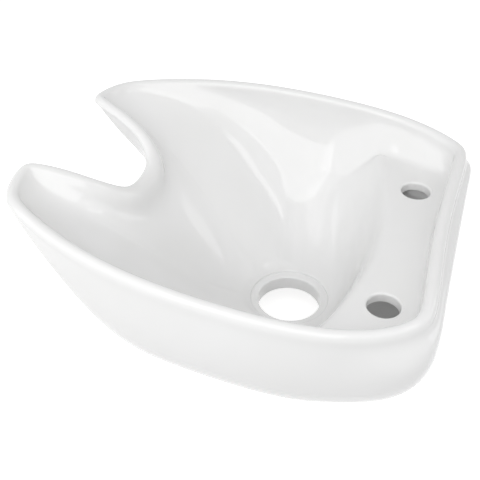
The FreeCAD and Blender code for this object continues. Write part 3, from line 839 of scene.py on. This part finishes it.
def metal_material(name, light, dark, roughness, scale):
    """Metal with fine turning marks round its vertical axis."""
    grain = (scale, 3.0, (1.0, 1.0, 14.0))
    return grained_material(name, light, dark, roughness, grain, 90.0, 1.0, bump=(0.15, 0.0002))


def matt_material(name, light, dark, roughness, scale):
    """Rubber or resin with an even grain."""
    grain = (scale, 5.0)
    return grained_material(name, light, dark, roughness, grain, 0.3 * scale, 0.0, bump=(0.2, 0.0003))


def dress_fixings():
    """Materials of the CAD pieces that keep their own meshes."""
    zinc = metal_material("zinc_plate", (0.70, 0.71, 0.72), (0.60, 0.61, 0.62), (0.28, 0.42), 300.0)
    spring = metal_material("spring_zinc", (0.56, 0.57, 0.58), (0.46, 0.47, 0.48), (0.35, 0.5), 300.0)
    brass = metal_material("turned_brass", (0.78, 0.60, 0.30), (0.66, 0.49, 0.22), (0.25, 0.4), 260.0)
    rubber = matt_material("black_rubber", (0.030, 0.030, 0.031), (0.018, 0.018, 0.019), (0.6, 0.75), 500.0)
    resin = matt_material("poured_resin", (0.50, 0.47, 0.41), (0.42, 0.39, 0.34), (0.55, 0.7), 220.0)
    by_node = {
        "anchor_bedding": resin, "threaded_inserts": brass, "stepped_studs": zinc,
        "rubber_washers": rubber, "plain_washers": zinc, "spring_washers": spring, "lock_nuts": zinc,
    }
    for node, material in by_node.items():
        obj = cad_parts[node]
        for material_slot in obj.material_slots:
            material_slot.material = material


# ---- surroundings ----
def level_when_seen(tree, lighting, seen_level):
    """Strength with one level for lighting and another for what the camera or a reflection sees."""
    path = tree.nodes.new("ShaderNodeLightPath")
    seen = path.outputs["Is Camera Ray"]
    for name in ("Is Glossy Ray", "Is Transmission Ray"):
        either = tree.nodes.new("ShaderNodeMath")
        either.operation = "MAXIMUM"
        tree.links.new(seen, either.inputs[0])
        tree.links.new(path.outputs[name], either.inputs[1])
        seen = either.outputs["Value"]
    strength = tree.nodes.new("ShaderNodeMapRange")
    strength.inputs["To Min"].default_value = lighting
    strength.inputs["To Max"].default_value = seen_level
    tree.links.new(seen, strength.inputs["Value"])
    return strength.outputs["Result"]


def surroundings():
    """Even white surroundings, brighter to look at than the light that they give."""
    world = bpy.data.worlds.new("studio")
    bpy.context.scene.world = world
    world.use_nodes = True
    tree = world.node_tree
    background = tree.nodes["Background"]
    background.inputs["Color"].default_value = (1.0, 1.0, 1.0, 1.0)
    tree.links.new(level_when_seen(tree, WORLD_LEVEL, 1.0), background.inputs["Strength"])


def floor():
    """Plain pale floor under the studs that shows white where no shadow falls."""
    low = min(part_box(node)[0][2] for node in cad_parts)
    corners = [(sx * FLOOR_HALF, sy * FLOOR_HALF, low) for sx, sy in ((-1, -1), (1, -1), (1, 1), (-1, 1))]
    obj = mesh_object("floor", corners, [(0, 1, 2, 3)])
    material, tree, shader = new_material("floor_white")
    shader.inputs["Base Color"].default_value = (*FLOOR_PALE, 1.0)
    shader.inputs["Roughness"].default_value = 1.0
    shader.inputs["Specular IOR Level"].default_value = 0.0
    shader.inputs["Emission Color"].default_value = (1.0, 1.0, 1.0, 1.0)
    tree.links.new(level_when_seen(tree, 0.0, FLOOR_LIFT), shader.inputs["Emission Strength"])
    obj.data.materials.append(material)


def softbox(name, place, target, width, height, power):
    """Lamp that faces its target and that the camera doesn't see."""
    data = bpy.data.lights.new(name, "AREA")
    data.shape = "RECTANGLE"
    data.size, data.size_y = width, height
    data.energy = power
    lamp = bpy.data.objects.new(name, data)
    lamp.location = place
    lamp.rotation_euler = (Vector(target) - Vector(place)).to_track_quat("-Z", "Y").to_euler()
    lamp.visible_camera = False
    bpy.context.collection.objects.link(lamp)


def camera():
    """Camera at the photograph's place and angle."""
    data = bpy.data.cameras.new("photo_camera")
    data.sensor_width = SENSOR_WIDTH
    data.lens = CAMERA_FOCAL_PX / IMAGE_SIZE * SENSOR_WIDTH
    data.clip_start = 0.01
    a, e = math.radians(CAMERA_AZIMUTH), math.radians(CAMERA_ELEVATION)
    forward = Vector((-math.sin(a) * math.cos(e), math.cos(a) * math.cos(e), -math.sin(e)))
    obj = bpy.data.objects.new("photo_camera", data)
    obj.location = Vector(CAMERA_PLACE) * MM
    obj.rotation_euler = forward.to_track_quat("-Z", "Y").to_euler()
    bpy.context.collection.objects.link(obj)
    bpy.context.scene.camera = obj


bpy.context.scene.view_settings.view_transform = "Standard"
casting()
dress_fixings()
surroundings()
floor()
for box in SOFTBOXES:
    softbox(*box)
camera()
